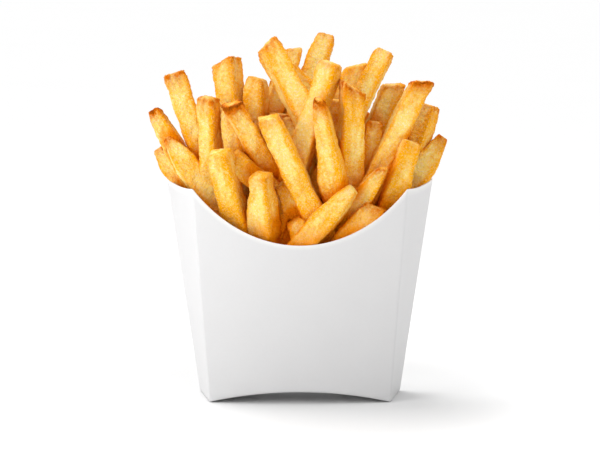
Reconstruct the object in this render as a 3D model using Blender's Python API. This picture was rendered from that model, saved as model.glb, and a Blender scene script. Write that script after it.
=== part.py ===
"""Potato fries standing in a plain white paperboard scoop carton.

Built at real size in metres with +Z up. The carton's front panel, with the scoop, faces -Y. The sizes below
are in millimetres, and MM turns them into metres when a mesh is made.
"""

import math
import random
from collections import namedtuple

import bmesh
import bpy
import numpy as np
from mathutils import Vector

MM = 0.001

# Carton, seen from above: a trapezoid, narrower in front, with the front and back panels bowed outwards
FRONT_HALF_BOTTOM = 39.6
FRONT_HALF_TOP = 46.3
BACK_HALF_BOTTOM = 44.9
BACK_HALF_TOP = 59.5
FRONT_Y_BOTTOM = -13.0
FRONT_Y_TOP = -20.0
BACK_Y_BOTTOM = 13.0
BACK_Y_TOP = 22.0
FRONT_BOW_BOTTOM = 4.0
FRONT_BOW_TOP = 6.0
BACK_BOW = 3.0
BOARD = 0.5

# Carton, heights: arched floor, scooped front, dipped sides and domed back
RIM_Z = 94.5
ARCH_RISE = 5.3
SCOOP_DEPTH = 24.0
SIDE_DIP = 1.2
BACK_DOME = 24.0

# Carton mesh
PANEL_STEPS = 24
SIDE_STEPS = 4
WALL_ROWS = 4
CORE_ROWS = 2

# Heap of fries
GAP = 0.5
CORE_TOP_FRONT = 62.0
CORE_TOP_BACK = 78.0
FOOT_Z = 42.0
LONGEST_FRY = 104.0
CORNER_ROUND = 0.24
RING_STATIONS = (0.0, 0.35, 0.6, 0.82, 0.96, 1.0)
END_SHRINK = 0.9
TAPER_CURVE = 0.7
RIM_CLEAR = 7.0
SIZE_SPREAD = 0.05
BEND_SPREAD = 0.9
THICKNESS = (0.9, 1.05)
SETTLE_ROUNDS = 40
SETTLE_LENGTH = 48.0
SETTLE_SHARE = 0.94
SETTLE_PUSH = 0.25
TIP_SHARE = 1.2
FOOT_SHARE = 0.5
SAME_DEPTH = 0.5
SIDE_PUSH = 2.2
LEAN_OUT = 3.0
INSIDE_SHARES = (0.0, 0.25, 0.4, 0.55, 0.7, 0.85, 1.0)
KEEP_OUT = 8.0

# Hidden fries at the back, by rule
BACK_ROW_Y = (17.0, 7.0)
BACK_ROW_FOOT = 0.55
BACK_ROW_PITCH = 12.5
BACK_ROW_HALF = 45.0
BACK_ROW_LEAN = 0.48
BACK_ROW_DROP = 6.0
BELOW_LINE = (5, 17)
STRAY_X = 2
STRAY_LEAN = 7
STRAY_ROLL = 40
STRAY_CUT = 20
HIDDEN_WIDTH = (8.6, 10.4)
HIDDEN_BLUNT = (0.6, 0.9)
HIDDEN_TAPER = 5
LOW_LINE_TOP = 137.0
LOW_LINE_FALL = 0.0082
SEED = 11

# Materials, colours linear
BOARD_COLOR = (0.88, 0.88, 0.87, 1.0)
FRY_COLOR = (0.78, 0.42, 0.09, 1.0)
BOARD_ROUGHNESS = 0.7
FRY_ROUGHNESS = 0.55

Fry = namedtuple("Fry", "x y z foot_y lean roll width cut blunt taper bend")

# Each fry: tip x, y and z, y of the foot, lean to the right and roll in degrees, width, slant of the end cut
# in degrees, width left at the tip as a share, length of the taper, sideways bend
FRONT_ROW = (
    Fry(23.0, -18.5, 95.0, -14.0, 40.7, 14, 10.2, -8, 0.5, 14, 0.0),
    Fry(-16.7, -17.5, 101.2, -12.5, -4.0, 28, 12.2, 4, 0.62, 36, 0.0),
    Fry(-34.6, -12.5, 110.6, -11.0, -13.5, 20, 9.9, 0, 0.85, 4, 0.6),
    Fry(8.0, -8.0, 133.2, -4.5, -10.0, 12, 12.2, -25, 0.24, 35, 0.0),
    Fry(-13.6, -10.5, 125.6, -8.0, -25.5, 4, 10.3, -13, 0.85, 4, 0.0),
    Fry(33.3, -13.5, 86.5, -12.5, 40.0, 10, 10.8, 20, 0.75, 6, 0.0),
    Fry(48.4, -5.0, 114.0, -9.0, 21.5, -12, 9.9, 0, 0.75, 8, 0.0),
    Fry(-58.8, 7.0, 114.2, -12.0, -32.0, -14, 10.2, 0, 0.3, 15, 3.0),
    Fry(-2.6, -13.0, 80.3, -11.0, -30.0, 0, 10.8, 0, 0.70, 5, 0.0),
)
SECOND_ROW = (
    Fry(-8.6, -7.5, 96.3, -4.0, -30.0, 10, 10.2, 0, 0.5, 10, 0.0),
    Fry(-29.5, -5.0, 107.0, -5.0, -52.0, 0, 10.8, 0, 0.80, 5, 0.0),
    Fry(35.8, -8.0, 103.5, -12.0, 32.0, 0, 9.4, 35, 0.35, 20, 0.0),
    Fry(-29.4, -3.5, 131.0, -3.0, -28.0, -10, 8.9, -12, 0.92, 3, 0.0),
    Fry(13.5, -1.5, 148.2, -1.0, 17.5, 22, 9.8, 0, 0.80, 5, 0.0),
    Fry(22.2, -2.0, 138.2, -2.0, 0.0, -16, 10.2, -33, 0.92, 3, 0.0),
    Fry(53.2, 3.0, 139.6, -1.0, 26.0, -8, 9.1, 26, 0.92, 3, 0.0),
    Fry(-39.8, 3.0, 132.7, 0.0, -3.0, 25, 8.2, -12, 0.75, 5, 0.0),
)
THIRD_ROW = (
    Fry(-14.8, 4.5, 155.6, 2.5, -28.0, -18, 10.2, 20, 0.75, 5, 0.0),
    Fry(-29.8, 5.0, 128.5, 3.0, -5.0, 5, 9.0, 0, 0.80, 5, 0.0),
    Fry(32.5, 7.0, 122.0, 4.0, 5.0, 0, 8.4, 0, 0.80, 5, 0.0),
    Fry(16.0, 8.0, 131.5, 4.0, 3.0, 10, 8.6, 0, 0.80, 5, 0.0),
    Fry(37.3, 7.0, 152.6, 4.0, 27.0, 14, 8.8, 0, 0.68, 6, 0.0),
    Fry(63.9, 10.0, 113.2, 1.0, 34.0, 8, 10.0, 0, 0.4, 13, 0.0),
    Fry(-55.7, 12.0, 142.4, 6.0, -19.5, -8, 9.0, 0, 0.92, 3, 0.0),
    Fry(-32.4, 13.0, 147.4, 6.0, -6.0, 29, 10.4, 18, 0.88, 4, 0.0),
    Fry(-6.2, 14.0, 143.6, 8.0, -46.0, 0, 9.0, 0, 0.80, 5, 0.0),
    Fry(-63.2, 15.0, 108.2, 5.0, -33.0, 6, 8.3, 0, 0.5, 9, 0.0),
)
BACK_ROW = (
    Fry(25.2, 13.0, 146.0, 7.0, 27.0, 0, 9.4, 40, 0.80, 5, 0.0),
    Fry(41.5, 13.0, 137.6, 7.0, 24.0, -6, 9.2, 25, 0.92, 3, 0.0),
    Fry(58.2, 16.5, 127.6, 7.0, 19.0, 38, 7.5, 0, 0.80, 5, 0.0),
    Fry(-18.8, 16.0, 140.4, 9.0, 4.0, 20, 9.7, -12, 0.62, 5, 0.0),
    Fry(-10.2, 19.0, 138.9, 9.0, -8.0, 0, 9.0, 0, 0.80, 5, 0.0),
    Fry(-3.2, 19.0, 152.6, 9.0, 18.0, -10, 9.0, 28, 0.70, 5, 0.0),
    Fry(12.0, 17.5, 158.4, 9.0, 20.0, 10, 9.4, 4, 0.74, 5, 0.0),
    Fry(-65.4, 19.0, 125.6, 8.0, -31.0, 8, 8.8, 0, 0.4, 12, 0.0),
)


def mix(a, b, t):
    return a + (b - a) * t


# Shape of the carton

Section = namedtuple("Section", "front_half back_half front_y back_y front_bow")


def section(z, inset=0.0):
    """Plan of the carton at height z, moved inwards by inset."""
    t = z / RIM_Z
    front_half = mix(FRONT_HALF_BOTTOM, FRONT_HALF_TOP, t)
    back_half = mix(BACK_HALF_BOTTOM, BACK_HALF_TOP, t)
    front_y = mix(FRONT_Y_BOTTOM, FRONT_Y_TOP, t)
    back_y = mix(BACK_Y_BOTTOM, BACK_Y_TOP, t)
    flare = (back_half - front_half) / (back_y - front_y)
    side = inset * math.sqrt(1 + flare * flare)
    return Section(
        front_half + inset * flare - side,
        back_half - inset * flare - side,
        front_y + inset,
        back_y - inset,
        mix(FRONT_BOW_BOTTOM, FRONT_BOW_TOP, t),
    )


def plan_point(u, v, z, inset=0.0):
    """Point of the carton's inside at height z: u runs from left to right, v from front to back."""
    s = section(z, inset)
    bulge = 1 - u * u
    x = mix(u * s.front_half, u * s.back_half, v)
    y = mix(s.front_y - s.front_bow * bulge, s.back_y + BACK_BOW * bulge, v)
    return (x, y, z)


def floor_z(u):
    return ARCH_RISE * (1 - u * u)


def rim_z(u, v):
    """Height of the board's top edge at a place on the border of the plan."""
    if v == 0:
        radius = (FRONT_HALF_TOP**2 + SCOOP_DEPTH**2) / (2 * SCOOP_DEPTH)
        x = u * FRONT_HALF_TOP
        return RIM_Z - SCOOP_DEPTH + radius - math.sqrt(radius * radius - x * x)
    if v == 1:
        return RIM_Z + BACK_DOME * (1 - u * u)
    return RIM_Z - SIDE_DIP * 4 * v * (1 - v)


def border():
    """Places round the border of the plan, from the front left corner and anticlockwise from above."""
    steps = np.linspace(-1, 1, PANEL_STEPS + 1)
    depth = np.linspace(0, 1, SIDE_STEPS + 1)
    front = [(float(u), 0.0) for u in steps[:-1]]
    right = [(1.0, float(v)) for v in depth[:-1]]
    back = [(float(u), 1.0) for u in steps[:0:-1]]
    left = [(-1.0, float(v)) for v in depth[:0:-1]]
    return front + right + back + left


def cup_surface(mesh, inset, lift, rows, top):
    """Walls and arched floor of the carton, moved inwards by inset and up by lift. Returns the top loop."""
    places = border()
    loops = []
    for row in range(rows + 1):
        t = row / rows
        loop = []
        for u, v in places:
            z = mix(floor_z(u) + lift, top(u, v), t)
            loop.append(mesh.verts.new(plan_point(u, v, z, inset)))
        loops.append(loop)
    for low, high in zip(loops, loops[1:]):
        join_loops(mesh, low, high)
    fill_sheet(mesh, loops[0], lambda u, v: plan_point(u, v, floor_z(u) + lift, inset), False)
    return loops[-1]


def join_loops(mesh, low, high):
    count = len(low)
    for i in range(count):
        j = (i + 1) % count
        mesh.faces.new((low[i], low[j], high[j], high[i]))


def fill_sheet(mesh, loop, place, upward):
    """Closes a border loop with a grid of the plan's inner places."""
    found = dict(zip(border(), loop))
    columns = [float(u) for u in np.linspace(-1, 1, PANEL_STEPS + 1)]
    depths = [float(v) for v in np.linspace(0, 1, SIDE_STEPS + 1)]
    for u in columns:
        for v in depths:
            if (u, v) not in found:
                found[u, v] = mesh.verts.new(place(u, v))
    for u0, u1 in zip(columns, columns[1:]):
        for v0, v1 in zip(depths, depths[1:]):
            corners = [found[u0, v0], found[u1, v0], found[u1, v1], found[u0, v1]]
            mesh.faces.new(corners if upward else corners[::-1])


def add_object(name, mesh, color, roughness):
    """Turns a bmesh in millimetres into an object in metres with its own material."""
    bmesh.ops.triangulate(mesh, faces=mesh.faces[:])
    data = bpy.data.meshes.new(name)
    for vert in mesh.verts:
        vert.co *= MM
    mesh.to_mesh(data)
    mesh.free()
    item = bpy.data.objects.new(name, data)
    bpy.context.collection.objects.link(item)
    material = bpy.data.materials.new(name)
    material.use_nodes = True
    shader = material.node_tree.nodes["Principled BSDF"]
    shader.inputs["Base Color"].default_value = color
    shader.inputs["Roughness"].default_value = roughness
    data.materials.append(material)
    return item


def make_carton():
    """One folded board: outer and inner skins joined along the cut top edge."""
    mesh = bmesh.new()
    outer = cup_surface(mesh, 0.0, 0.0, WALL_ROWS, rim_z)
    skin = set(mesh.faces)
    inner = cup_surface(mesh, BOARD, BOARD, WALL_ROWS, rim_z)
    bmesh.ops.reverse_faces(mesh, faces=[f for f in mesh.faces if f not in skin])
    join_loops(mesh, outer, inner)
    return add_object("carton", mesh, BOARD_COLOR, BOARD_ROUGHNESS)


# Layout of the fries


def wall_room(x, y, z):
    """How far a point is inside the front, back and side walls at height z."""
    s = section(z)
    front = y - s.front_y + s.front_bow * max(0.0, 1 - (x / s.front_half) ** 2)
    back = s.back_y + BACK_BOW * max(0.0, 1 - (x / s.back_half) ** 2) - y
    flare = (s.back_half - s.front_half) / (s.back_y - s.front_y)
    side = (s.front_half + (y - s.front_y) * flare - abs(x)) / math.sqrt(1 + flare * flare)
    return front, back, side


def low_line(x):
    """Height that the hidden fries stay below, so that the uneven outline of the heap is kept."""
    return LOW_LINE_TOP - LOW_LINE_FALL * x * x


def hidden_fries(rng):
    """Fries behind the ones that show, in rows by rule."""
    rows = []
    for row, back in enumerate(BACK_ROW_Y):
        x = -BACK_ROW_HALF + row * BACK_ROW_PITCH / 2
        while x <= BACK_ROW_HALF:
            tip = x + rng.uniform(-STRAY_X, STRAY_X)
            height = low_line(tip) - rng.uniform(*BELOW_LINE) - BACK_ROW_DROP * row
            lean = BACK_ROW_LEAN * tip + rng.uniform(-STRAY_LEAN, STRAY_LEAN)
            width = rng.uniform(*HIDDEN_WIDTH)
            roll = rng.uniform(-STRAY_ROLL, STRAY_ROLL)
            cut = rng.uniform(-STRAY_CUT, STRAY_CUT)
            blunt = rng.uniform(*HIDDEN_BLUNT)
            foot = back * BACK_ROW_FOOT
            rows.append(Fry(tip, back, height, foot, lean, roll, width, cut, blunt, HIDDEN_TAPER, 0.0))
            x += BACK_ROW_PITCH
    return rows


def tip_and_foot(fry):
    """Ends of a fry's middle line. The foot is sunk in the core, and no fry is longer than the longest."""
    rise = fry.z - FOOT_Z
    slope = math.tan(math.radians(fry.lean))
    run = rise * slope
    depth = fry.y - fry.foot_y
    share = min(1.0, LONGEST_FRY / math.sqrt(rise * rise + run * run + depth * depth))
    tip = Vector((fry.x, fry.y, fry.z))
    foot = Vector((fry.x - run * share, fry.y - depth * share, fry.z - rise * share))
    return tip, foot


def closest_shares(a0, a1, b0, b1):
    """Shares along two segments at which they come closest."""
    da = a1 - a0
    db = b1 - b0
    between = a0 - b0
    aa = da.dot(da)
    bb = db.dot(db)
    ab = da.dot(db)
    ac = da.dot(between)
    bc = db.dot(between)
    spread = aa * bb - ab * ab
    s = 0.0 if spread < 1e-6 else min(1.0, max(0.0, (ab * bc - ac * bb) / spread))
    t = min(1.0, max(0.0, (ab * s + bc) / bb))
    s = min(1.0, max(0.0, (ab * t - ac) / aa))
    return s, t


def upper_end(tip, foot):
    """Lower end of the stretch of a fry that shows."""
    line = foot - tip
    return tip + line.normalized() * min(SETTLE_LENGTH, line.length)


def part_two(one, other, reach, nearer):
    """Moves two fries apart in depth where their middle lines pass closer than reach."""
    (tip_a, foot_a), (tip_b, foot_b) = one, other
    low_a = upper_end(tip_a, foot_a)
    low_b = upper_end(tip_b, foot_b)
    s, t = closest_shares(tip_a, low_a, tip_b, low_b)
    between = tip_a.lerp(low_a, s) - tip_b.lerp(low_b, t)
    flat = between.x * between.x + between.z * between.z
    if flat >= reach * reach:
        return
    short = math.sqrt(reach * reach - flat) - abs(between.y)
    if short <= 0:
        return
    side = between.y if abs(between.y) > SAME_DEPTH else nearer
    push = math.copysign(SETTLE_PUSH * short, side)
    tip_a.y += push * (TIP_SHARE - s)
    foot_a.y += push * s * FOOT_SHARE
    tip_b.y -= push * (TIP_SHARE - t)
    foot_b.y -= push * t * FOOT_SHARE


def settle(ends, widths):
    """Lets the fries find room: crossing ones move apart in depth, and all stay within the walls."""
    depths = [tip.y for tip, _ in ends]
    for _ in range(SETTLE_ROUNDS):
        for i, one in enumerate(ends):
            for j in range(i + 1, len(ends)):
                reach = SETTLE_SHARE * (widths[i] + widths[j]) / 2
                part_two(one, ends[j], reach, depths[i] - depths[j])
        for (tip, foot), width in zip(ends, widths):
            keep_inside(tip, foot, width)


def keep_inside(tip, foot, width):
    """Moves a fry in depth until it clears the walls. Above their top edge it may lean out a little."""
    half = width / 2 + BOARD + GAP
    for share in INSIDE_SHARES:
        p = tip.lerp(foot, share)
        u = max(-1.0, min(1.0, p.x / FRONT_HALF_TOP))
        w = max(-1.0, min(1.0, p.x / BACK_HALF_TOP))
        front, back, side = wall_room(p.x, p.y, p.z)
        front -= half if p.z < rim_z(u, 0) + RIM_CLEAR else half - LEAN_OUT
        back -= half if p.z < rim_z(w, 1) + RIM_CLEAR else half - LEAN_OUT
        move = 0.0
        if front < 0:
            move = -front
        elif back < 0:
            move = back
        elif p.z < RIM_Z + RIM_CLEAR and side < half:
            move = SIDE_PUSH * (half - side)
        tip.y += move * (1 - share)
        foot.y += move * share


def all_fries():
    """Every fry as its settled middle line and its row of sizes."""
    rng = random.Random(SEED)
    rows = list(FRONT_ROW + SECOND_ROW + THIRD_ROW + BACK_ROW) + hidden_fries(rng)
    ends = [tip_and_foot(fry) for fry in rows]
    settle(ends, [fry.width for fry in rows])
    return list(zip(rows, ends))


# Shape of one fry


def ring_square(width, thick):
    """Corners of a square with each corner cut off."""
    a = width / 2
    b = thick / 2
    cut = CORNER_ROUND * width
    return [
        (-a + cut, -b),
        (a - cut, -b),
        (a, -b + cut),
        (a, b - cut),
        (a - cut, b),
        (-a + cut, b),
        (-a, b - cut),
        (-a, -b + cut),
    ]


def fry_mesh(fry, tip, foot, rng):
    """A slightly bent and uneven stick with cut ends."""
    mesh = bmesh.new()
    along = (tip - foot).normalized()
    across = Vector((0, 1, 0)).cross(along).normalized()
    away = along.cross(across)
    roll = math.radians(fry.roll)
    bend = fry.bend + rng.uniform(-BEND_SPREAD, BEND_SPREAD)
    thick = fry.width * rng.uniform(*THICKNESS)
    slant = math.tan(math.radians(fry.cut))
    loops = []
    for number, share in enumerate(RING_STATIONS):
        size = 1 + rng.uniform(-SIZE_SPREAD, SIZE_SPREAD)
        left = (1 - share) * (tip - foot).length / fry.taper
        if number == 0:
            size = END_SHRINK
        elif left < 1:
            size = mix(fry.blunt, 1.0, left**TAPER_CURVE)
        middle = foot.lerp(tip, share) + across * bend * math.sin(math.pi * share)
        loop = []
        for a, b in ring_square(fry.width * size, thick * size):
            right = a * math.cos(roll) - b * math.sin(roll)
            deep = a * math.sin(roll) + b * math.cos(roll)
            point = middle + across * right - away * deep
            if number >= len(RING_STATIONS) - 2:
                point += along * right * slant
            loop.append(mesh.verts.new(point))
        loops.append(loop)
    for low, high in zip(loops, loops[1:]):
        join_loops(mesh, low, high)
    mesh.faces.new(loops[0][::-1])
    mesh.faces.new(loops[-1])
    bmesh.ops.recalc_face_normals(mesh, faces=mesh.faces[:])
    return mesh


def core_mesh():
    """What the feet stand in: the carton's inside, clear of the board, up to below the fries that show."""
    mesh = bmesh.new()
    inset = BOARD + GAP

    def top(_, v):
        return mix(CORE_TOP_FRONT, CORE_TOP_BACK, v)

    loop = cup_surface(mesh, inset, inset, CORE_ROWS, top)
    fill_sheet(mesh, loop, lambda u, v: plan_point(u, v, top(u, v), inset), True)
    return mesh


def keep_out_mesh():
    """The carton's walls, thick outwards and with a gap inwards, which the fries are trimmed to."""
    mesh = bmesh.new()

    def top(u, v):
        return rim_z(u, v) + GAP

    outer = cup_surface(mesh, -KEEP_OUT, -KEEP_OUT, CORE_ROWS, top)
    skin = set(mesh.faces)
    inner = cup_surface(mesh, BOARD + GAP, BOARD + GAP, CORE_ROWS, top)
    bmesh.ops.reverse_faces(mesh, faces=[f for f in mesh.faces if f not in skin])
    join_loops(mesh, outer, inner)
    return mesh


def add_tool(mesh, collection):
    """Adds a mesh that only takes part in a Boolean."""
    bmesh.ops.triangulate(mesh, faces=mesh.faces[:])
    data = bpy.data.meshes.new("tool")
    mesh.to_mesh(data)
    mesh.free()
    item = bpy.data.objects.new("tool", data)
    collection.objects.link(item)
    return item


def boolean(item, operation, collection):
    """Applies one Boolean of a collection to an object."""
    cut = item.modifiers.new("cut", "BOOLEAN")
    cut.operation = operation
    cut.operand_type = "COLLECTION"
    cut.collection = collection
    cut.solver = "MANIFOLD"
    graph = bpy.context.evaluated_depsgraph_get()
    made = bpy.data.meshes.new_from_object(item.evaluated_get(graph))
    item.modifiers.clear()
    item.data = made


def largest_body(mesh):
    """Drops loose scraps and the shells of sealed hollows, so that one closed body is left."""
    mesh.faces.ensure_lookup_table()
    left = set(mesh.faces)
    bodies = []
    while left:
        body = []
        stack = [left.pop()]
        while stack:
            face = stack.pop()
            body.append(face)
            for edge in face.edges:
                for other in edge.link_faces:
                    if other in left:
                        left.remove(other)
                        stack.append(other)
        bodies.append(body)
    bodies.sort(key=len)
    for body in bodies[:-1]:
        bmesh.ops.delete(mesh, geom=body, context="FACES")


def make_fries():
    """The heap in one body: every fry fused to the core and trimmed clear of the board."""
    rng = random.Random(SEED)
    sticks = bpy.data.collections.new("sticks")
    walls = bpy.data.collections.new("walls")
    bpy.context.scene.collection.children.link(sticks)
    bpy.context.scene.collection.children.link(walls)
    for fry, (tip, foot) in all_fries():
        add_tool(fry_mesh(fry, tip, foot, rng), sticks)
    add_tool(keep_out_mesh(), walls)
    heap = add_tool(core_mesh(), bpy.context.scene.collection)
    boolean(heap, "UNION", sticks)
    boolean(heap, "DIFFERENCE", walls)
    mesh = bmesh.new()
    mesh.from_mesh(heap.data)
    largest_body(mesh)
    for item in [heap, *sticks.objects, *walls.objects]:
        bpy.data.objects.remove(item)
    bpy.data.collections.remove(sticks)
    bpy.data.collections.remove(walls)
    return add_object("fries", mesh, FRY_COLOR, FRY_ROUGHNESS)


def centre_on_base(items):
    """Puts the origin under the middle of the whole, on the surface it stands on."""
    points = [v.co for item in items for v in item.data.vertices]
    low = [min(p[k] for p in points) for k in range(3)]
    high = [max(p[k] for p in points) for k in range(3)]
    shift = Vector((-(low[0] + high[0]) / 2, -(low[1] + high[1]) / 2, -low[2]))
    for item in items:
        for vert in item.data.vertices:
            vert.co += shift


def main():
    for item in list(bpy.data.objects):
        bpy.data.objects.remove(item)
    carton = make_carton()
    fries = make_fries()
    centre_on_base((carton, fries))


main()
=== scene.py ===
"""Potato fries in a plain white scoop carton: the finished look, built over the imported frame."""

import math
import random
from collections import namedtuple

import bmesh
import bpy
import numpy as np
from bpy.props import FloatProperty, FloatVectorProperty, IntProperty, PointerProperty
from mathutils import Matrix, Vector


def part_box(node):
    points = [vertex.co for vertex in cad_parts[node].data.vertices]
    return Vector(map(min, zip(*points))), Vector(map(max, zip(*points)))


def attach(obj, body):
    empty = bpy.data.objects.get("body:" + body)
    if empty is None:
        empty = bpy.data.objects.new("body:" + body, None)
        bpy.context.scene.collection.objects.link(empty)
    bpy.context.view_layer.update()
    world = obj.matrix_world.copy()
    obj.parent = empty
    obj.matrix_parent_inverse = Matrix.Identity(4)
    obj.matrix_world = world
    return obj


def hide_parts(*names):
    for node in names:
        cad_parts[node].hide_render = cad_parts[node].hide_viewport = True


bl_info = {
    "name": "Fries in a scoop carton",
    "version": (1, 0, 0),
    "blender": (4, 5, 0),
    "location": "3D View > Sidebar > Fries",
    "description": "Builds potato fries standing in a white paperboard scoop carton",
    "category": "Add Mesh",
}

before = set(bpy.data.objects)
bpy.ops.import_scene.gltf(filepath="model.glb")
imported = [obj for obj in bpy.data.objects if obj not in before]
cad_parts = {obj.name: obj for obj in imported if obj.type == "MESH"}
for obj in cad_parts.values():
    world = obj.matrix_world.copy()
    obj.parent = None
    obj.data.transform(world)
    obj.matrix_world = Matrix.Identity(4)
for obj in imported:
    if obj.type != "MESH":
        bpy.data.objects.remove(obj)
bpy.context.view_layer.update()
CARTON_LOW, CARTON_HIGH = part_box("carton")
BODY = "root"
MM = 0.001

# Carton, seen from above: a trapezoid, narrower in front, with the front and back panels bowed outwards
FRONT_HALF_BOTTOM = 39.6
FRONT_HALF_TOP = 46.3
BACK_HALF_BOTTOM = 44.9
BACK_HALF_TOP = 59.5
FRONT_Y_BOTTOM = -13.0
FRONT_Y_TOP = -20.0
BACK_Y_BOTTOM = 13.0
BACK_Y_TOP = 22.0
FRONT_BOW_BOTTOM = 4.0
FRONT_BOW_TOP = 6.0
BACK_BOW = 3.0
BOARD = 0.5

# Carton, heights: arched floor, scooped front, dipped sides and domed back
RIM_Z = 94.5
ARCH_RISE = 5.3
SCOOP_DEPTH = 24.0
SIDE_DIP = 1.2
BACK_DOME = 24.0

# Heap of fries
GAP = 0.5
CORE_TOP_FRONT = 62.0
CORE_TOP_BACK = 78.0
FOOT_Z = 42.0
LONGEST_FRY = 104.0
TAPER_CURVE = 0.7
RIM_CLEAR = 7.0
BEND_SPREAD = 0.9
SETTLE_ROUNDS = 40
SETTLE_LENGTH = 48.0
SETTLE_SHARE = 0.94
SETTLE_PUSH = 0.25
TIP_SHARE = 1.2
FOOT_SHARE = 0.5
SAME_DEPTH = 0.5
SIDE_PUSH = 2.2
LEAN_OUT = 3.0
INSIDE_SHARES = (0.0, 0.25, 0.4, 0.55, 0.7, 0.85, 1.0)

# Hidden fries at the back, by rule
BACK_ROW_Y = (17.0, 7.0)
BACK_ROW_FOOT = 0.55
BACK_ROW_PITCH = 12.5
BACK_ROW_HALF = 45.0
BACK_ROW_LEAN = 0.48
BACK_ROW_DROP = 6.0
LOW_LINE_TOP = 137.0
LOW_LINE_FALL = 0.0082
BELOW_LINE = (5, 17)
STRAY_X = 2
STRAY_LEAN = 7
STRAY_ROLL = 40
STRAY_CUT = 20
HIDDEN_WIDTH = (8.6, 10.4)
HIDDEN_BLUNT = (0.6, 0.9)
HIDDEN_TAPER = 5
HIDDEN_BROWN = 0.6
HIDDEN_TONE = 0.1
SEED = 11

# One fry: rings at its cut end, spread of its browning, its girth and its hidden stretch
END_STEPS = 9
END_DEPTH = 1.1
END_POWER = 0.5
END_ANGLES = (4, 90)
RIM_REACH = 3.2
CAP_REACH = 1.8
CUT_FADE = 9.0
COARSE = 4.0
LEAST_RINGS = 4
LEAST_RISE = 0.1
HIDDEN_BELOW = 62.0
FOOT_ROOM = 0.5
FOOT_CHECKS = 60
WALL_CLEAR = 0.35
THICKNESS = (0.9, 1.05)
GIRTH_WAVES = ((0.05, 0.9), (0.035, 2.3), (0.025, 4.1))
FLOAT_LAYERS = ("girth", "thick", "slant", "rim", "tone", "luck", "own")
VECTOR_LAYERS = ("facing", "across", "axis", "middle")
KEPT_LAYERS = ("rim", "tone", "luck")
SWEEP_INPUTS = (("Guides", "Geometry"), ("Points around", "Int"))
SWEEP_INPUTS += (("Corner", "Float"), ("Swell", "Float"), ("Blister", "Float"))

# Painted shade on the crust, from how closely the fries stand together, from 0: more near the front rim, less
# near the top of the heap
SHADE_REACH = 3.2
SHADE_SIDE = 0.3
LOW_SHADE = 0.95
LOW_SHADE_ABOVE = 14.0
LOW_SHADE_SIDE = 0.5
LOW_SHADE_FADE = 14.0
OPEN_SHARE = 0.55
OPEN_FROM = 108.0
OPEN_FADE = 32.0

# Noise patterns, with their scales per metre
Pattern = namedtuple("Pattern", "scale detail roughness")
SLOW = Pattern(95.0, 2.0, 0.5)
LUMPS = Pattern(380.0, 3.0, 0.55)
FINE = Pattern(900.0, 2.0, 0.6)
PATCH = Pattern(130.0, 2.0, 0.5)
BLOTCH = Pattern(380.0, 3.0, 0.55)
PORES = Pattern(750.0, 3.0, 0.65)
GRAIN = Pattern(1400.0, 2.0, 0.6)
CORE_BLOTCH = Pattern(150.0, 3.0, 0.6)
CORE_GRAIN = Pattern(1200.0, 2.0, 0.6)
FIBRE = Pattern(900.0, 4.0, 0.6)
BOARD_WAVE = Pattern(60.0, 3.0, 0.5)
FLOOR_CLOUD = Pattern(2.0, 2.0, 0.5)

# Relief: each fry reads its own part of the patterns, and the relief fades in the middle of the cut
CORNER_POINTS = 6
GRAIN_STRETCH = 0.4
GRAIN_SHIFT = 7.0
RELIEF_SHIFT = 40.0
FULL_GIRTH = 0.004
CORNER_LIFT = 0.8
FACE_SINK = 0.35
WAIST = 0.25
SLOW_SHARE = 2.0
LUMPS_SHARE = 1.6
FINE_SHARE = 2.4
RIM_RAGGED = 2.0

# Crust: what moves its colour from pale at 0 to golden at 1
GOLD = 0.26
GOLD_PATCH = 3.6
GOLD_BLOTCH = 1.8
GOLD_PORES = 2.3
GOLD_GRAIN = 1.8
GOLD_CORNER = 0.95
GOLD_TONE = 0.35
# Painted shade: each fry's right-hand face, away from the key light, more golden
RIGHT_SHADE = 0.5
RIGHT_SHADE_RANGE = (0.3, 1.1)
PORES_SHIFT = 30.0

# Crust: dry crumbs, partly painted glints, then the deep and browned colours of the painted shade between the
# fries
# Dry crumbs, which also stand as painted glints on the grain
CRUMB_AND_GLINT = 0.95
CRUMB_AND_GLINT_GOLD = 0.6
CRUMB_AND_GLINT_GRAIN = (0.0, 0.1)
DEEP_SHADE = 0.97
DEEP_SHADE_BLOTCH = 0.9
DEEP_SHADE_RANGE = (0.12, 1.02)
# Painted shade: browned colour in the tightest gaps
DARK_SHADE = 0.7
DARK_SHADE_RANGE = (0.85, 2.0)

# Crust: browned edges and ends, with dark specks on the ends
EDGE = 0.3
EDGE_PORES = 1.6
EDGE_PATCH = 1.2
EDGE_SHARE = 0.6
EDGE_CORNER = (0.84, 1.0)
FRIED = 0.95
FRIED_BLOTCH = 1.8
FRIED_PORES = 1.4
FRIED_GAIN = 1.15
SPECK_FROM = 0.8
SPECK_GAIN = 2.5
SPECK_PORES = 1.5
SPECK_SHARE = 0.6
SPECK_RIM = (0.6, 1.2)

# Meshes, light and camera
SHARP_ANGLE = math.radians(40)
CORE_GRID = (48, 20, 12)
TINY = 0.00001
PARALLEL = 1e-6
SUN_SPREAD = math.radians(50)
SUN_PLACE = (-0.4, 0.4, 1.0)
FLOOR_SIZE = 20.0
# Painted shadow: the floor is greyer round the carton, fading out over the pool's squared distance
FLOOR_SHADOW = (0.76, 0.76, 0.76, 1)
FLOOR_FAR = (0.92, 0.92, 0.92, 1)
SHADOW_POOL = (0.005, 0.018)  # squared distance from the middle
SENSOR = 36.0
FAR_CLIP = 100.0

Fry = namedtuple("Fry", "x y z foot_y lean roll width cut blunt taper bend brown tone")

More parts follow.
